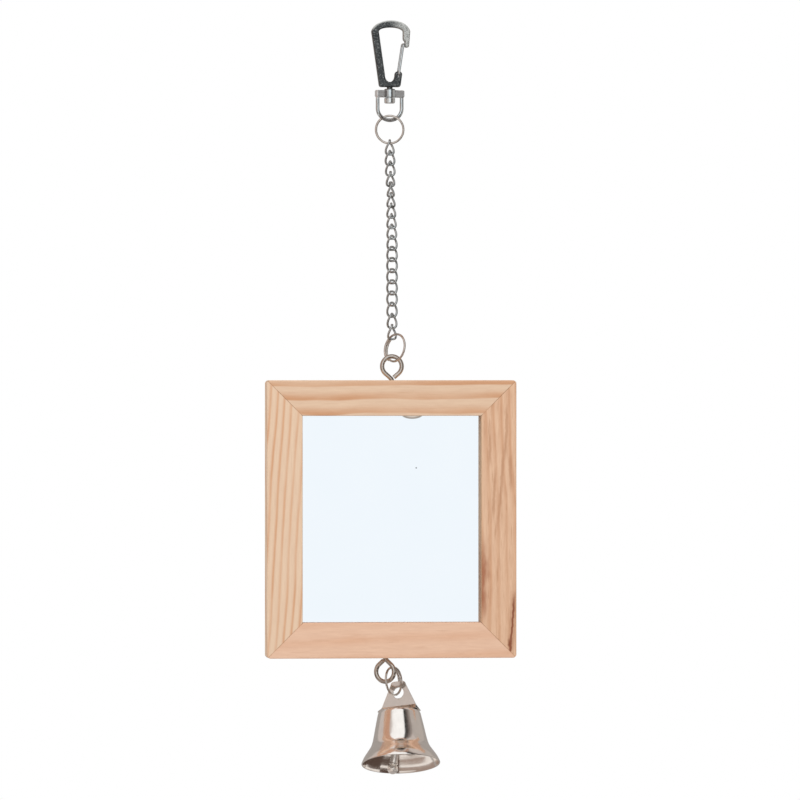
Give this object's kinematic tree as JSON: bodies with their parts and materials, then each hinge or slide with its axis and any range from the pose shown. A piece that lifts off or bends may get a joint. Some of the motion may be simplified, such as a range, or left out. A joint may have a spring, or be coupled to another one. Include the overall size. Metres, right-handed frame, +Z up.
{
  "type": "bird mirror with bell",
  "caption": "Cage toy: a wood-framed mirror hung by a curb chain from a swivel snap hook with a wire gate, with a flared bell and clapper on a wire ring below.",
  "frame": {"origin": "inner top of the hook's crown, where a cage bar bears, at the middle of the hook's thickness", "axes": "+Z up along the hanging line, -Y the mirror's front, +X to the viewer's right, the gate's side of the hook"},
  "size_m": [0.0986, 0.0295, 0.2973],
  "materials": {
    "hook_casting": "dark plated casting, slightly pitted",
    "bail_casting": "plated casting",
    "chain_wire": "cold grey plated wire",
    "ring_wire": "warm nickel-plated wire",
    "bell_plate": "polished nickel-plated sheet",
    "bare_steel": "bare steel",
    "pine": "planed, unvarnished pine with orange grain",
    "mirror_glass": "silvered glass",
    "hardboard": "plain hardboard"
  },
  "bodies": {
    "hook": {"hook_body": "hook_casting"},
    "gate": {"gate_wire": "chain_wire"},
    "bail": {"swivel_bail": "bail_casting"},
    "upper_ring": {"upper_split_ring": "ring_wire"},
    "link_01": {"chain_link_01": "chain_wire"},
    "link_02": {"chain_link_02": "chain_wire"},
    "link_03": {"chain_link_03": "chain_wire"},
    "link_04": {"chain_link_04": "chain_wire"},
    "link_05": {"chain_link_05": "chain_wire"},
    "link_06": {"chain_link_06": "chain_wire"},
    "link_07": {"chain_link_07": "chain_wire"},
    "link_08": {"chain_link_08": "chain_wire"},
    "link_09": {"chain_link_09": "chain_wire"},
    "link_10": {"chain_link_10": "chain_wire"},
    "link_11": {"chain_link_11": "chain_wire"},
    "link_12": {"chain_link_12": "chain_wire"},
    "link_13": {"chain_link_13": "chain_wire"},
    "link_14": {"chain_link_14": "chain_wire"},
    "link_15": {"chain_link_15": "chain_wire"},
    "link_16": {"chain_link_16": "chain_wire"},
    "link_17": {"chain_link_17": "chain_wire"},
    "link_18": {"chain_link_18": "chain_wire"},
    "lower_ring": {"lower_split_ring": "ring_wire"},
    "mirror": {"top_rail": "pine", "right_rail": "pine", "bottom_rail": "pine", "left_rail": "pine", "top_glazier_point": "bare_steel", "right_glazier_point": "bare_steel", "bottom_glazier_point": "bare_steel", "left_glazier_point": "bare_steel", "top_left_corner_fastener": "bare_steel", "top_right_corner_fastener": "bare_steel", "bottom_left_corner_fastener": "bare_steel", "bottom_right_corner_fastener": "bare_steel", "mirror_glass": "mirror_glass", "backing_board": "hardboard", "top_screw_eye": "ring_wire", "bottom_screw_eye": "ring_wire"},
    "bell_ring": {"bell_split_ring": "ring_wire"},
    "bell": {"bell_hanger": "bell_plate", "bell_shell": "bell_plate", "clapper_rivet": "bell_plate"},
    "clapper": {"clapper": "bell_plate"}
  },
  "joints": [
    {"name": "gate_hinge", "type": "hinge", "parent": "hook", "child": "gate", "pos_m": [0.003, 0, -0.0186], "axis": [0, -1, 0], "range_deg": [0, 34], "stiffness_Nm_per_rad": 0.02, "springref_deg": -8.59},
    {"name": "bail_swivel", "type": "hinge", "parent": "hook", "child": "bail", "pos_m": [-0.0004, 0, -0.0242], "axis": [0, 0, 1], "continuous": true},
    {"name": "upper_ring_swing", "type": "hinge", "parent": "bail", "child": "upper_ring", "pos_m": [-0.0004, 0, -0.03655], "axis": [0.9136, 0.4067, 0], "range_deg": [-35, 35]},
    {"name": "link_01_swing", "type": "hinge", "parent": "upper_ring", "child": "link_01", "pos_m": [-0.0003, 0.00054, -0.04565], "axis": [0.9848, -0.1736, 0], "range_deg": [-28, 28]},
    {"name": "link_02_swing", "type": "hinge", "parent": "link_01", "child": "link_02", "pos_m": [-0.0002, 0.00054, -0.04863], "axis": [0.225, 0.9744, 0], "range_deg": [-28, 28]},
    {"name": "link_03_swing", "type": "hinge", "parent": "link_02", "child": "link_03", "pos_m": [-0.0001, 0.00054, -0.05418], "axis": [-0.9744, 0.225, 0], "range_deg": [-28, 28]},
    {"name": "link_04_swing", "type": "hinge", "parent": "link_03", "child": "link_04", "pos_m": [0, 0.00054, -0.05693], "axis": [0.0872, -0.9962, 0], "range_deg": [-28, 28]},
    {"name": "link_05_swing", "type": "hinge", "parent": "link_04", "child": "link_05", "pos_m": [0.0001, 0.00054, -0.06248], "axis": [0.9962, 0.0872, 0], "range_deg": [-28, 28]},
    {"name": "link_06_swing", "type": "hinge", "parent": "link_05", "child": "link_06", "pos_m": [0.0002, 0.00054, -0.06523], "axis": [-0.1736, 0.9848, 0], "range_deg": [-28, 28]},
    {"name": "link_07_swing", "type": "hinge", "parent": "link_06", "child": "link_07", "pos_m": [0.0003, 0.00054, -0.07078], "axis": [-0.9848, -0.1736, 0], "range_deg": [-28, 28]},
    {"name": "link_08_swing", "type": "hinge", "parent": "link_07", "child": "link_08", "pos_m": [0.0004, 0.00054, -0.07352], "axis": [-0.1219, -0.9925, 0], "range_deg": [-28, 28]},
    {"name": "link_09_swing", "type": "hinge", "parent": "link_08", "child": "link_09", "pos_m": [0.0005, 0.00054, -0.07908], "axis": [0.9925, -0.1219, 0], "range_deg": [-28, 28]},
    {"name": "link_10_swing", "type": "hinge", "parent": "link_09", "child": "link_10", "pos_m": [0.0006, 0.00054, -0.08207], "axis": [0.4226, 0.9063, 0], "range_deg": [-28, 28]},
    {"name": "link_11_swing", "type": "hinge", "parent": "link_10", "child": "link_11", "pos_m": [0.0006, 0.00054, -0.08762], "axis": [-0.9063, 0.4226, 0], "range_deg": [-28, 28]},
    {"name": "link_12_swing", "type": "hinge", "parent": "link_11", "child": "link_12", "pos_m": [0.0006, 0.00054, -0.09087], "axis": [-0.7071, -0.7071, 0], "range_deg": [-28, 28]},
    {"name": "link_13_swing", "type": "hinge", "parent": "link_12", "child": "link_13", "pos_m": [0.0006, 0.00054, -0.09642], "axis": [0.7071, -0.7071, 0], "range_deg": [-28, 28]},
    {"name": "link_14_swing", "type": "hinge", "parent": "link_13", "child": "link_14", "pos_m": [0.0006, 0.00054, -0.09967], "axis": [0.7071, 0.7071, 0], "range_deg": [-28, 28]},
    {"name": "link_15_swing", "type": "hinge", "parent": "link_14", "child": "link_15", "pos_m": [0.0006, 0.00054, -0.10522], "axis": [-0.7071, 0.7071, 0], "range_deg": [-28, 28]},
    {"name": "link_16_swing", "type": "hinge", "parent": "link_15", "child": "link_16", "pos_m": [0.0006, 0.00054, -0.10848], "axis": [-0.515, -0.8572, 0], "range_deg": [-28, 28]},
    {"name": "link_17_swing", "type": "hinge", "parent": "link_16", "child": "link_17", "pos_m": [0.0006, 0.00054, -0.11403], "axis": [0.8572, -0.515, 0], "range_deg": [-28, 28]},
    {"name": "link_18_swing", "type": "hinge", "parent": "link_17", "child": "link_18", "pos_m": [0.0006, 0.00054, -0.11728], "axis": [-0.0523, 0.9986, 0], "range_deg": [-28, 28]},
    {"name": "lower_ring_swing", "type": "hinge", "parent": "link_18", "child": "lower_ring", "pos_m": [0.0006, 0.00054, -0.12283], "axis": [0.9986, 0.0523, 0], "range_deg": [-28, 28]},
    {"name": "mirror_swing", "type": "hinge", "parent": "lower_ring", "child": "mirror", "pos_m": [0.00099, -0.00204, -0.13161], "axis": [0.5878, -0.809, 0], "range_deg": [-35, 35]},
    {"name": "bell_ring_swing", "type": "hinge", "parent": "mirror", "child": "bell_ring", "pos_m": [-0.00049, -0.00296, -0.25718], "axis": [0.7022, -0.4219, 0.5736], "range_deg": [-35, 15]},
    {"name": "bell_swing", "type": "hinge", "parent": "bell_ring", "child": "bell", "pos_m": [0.00323, 0.00109, -0.26243], "axis": [0.4794, 0.7231, 0.4973], "range_deg": [-35, 35]},
    {"name": "clapper_swing", "type": "hinge", "parent": "bell", "child": "clapper", "pos_m": [0.00323, -0.00268, -0.27439], "axis": [0, -1, 0], "range_deg": [-22, 38]}
  ]
}
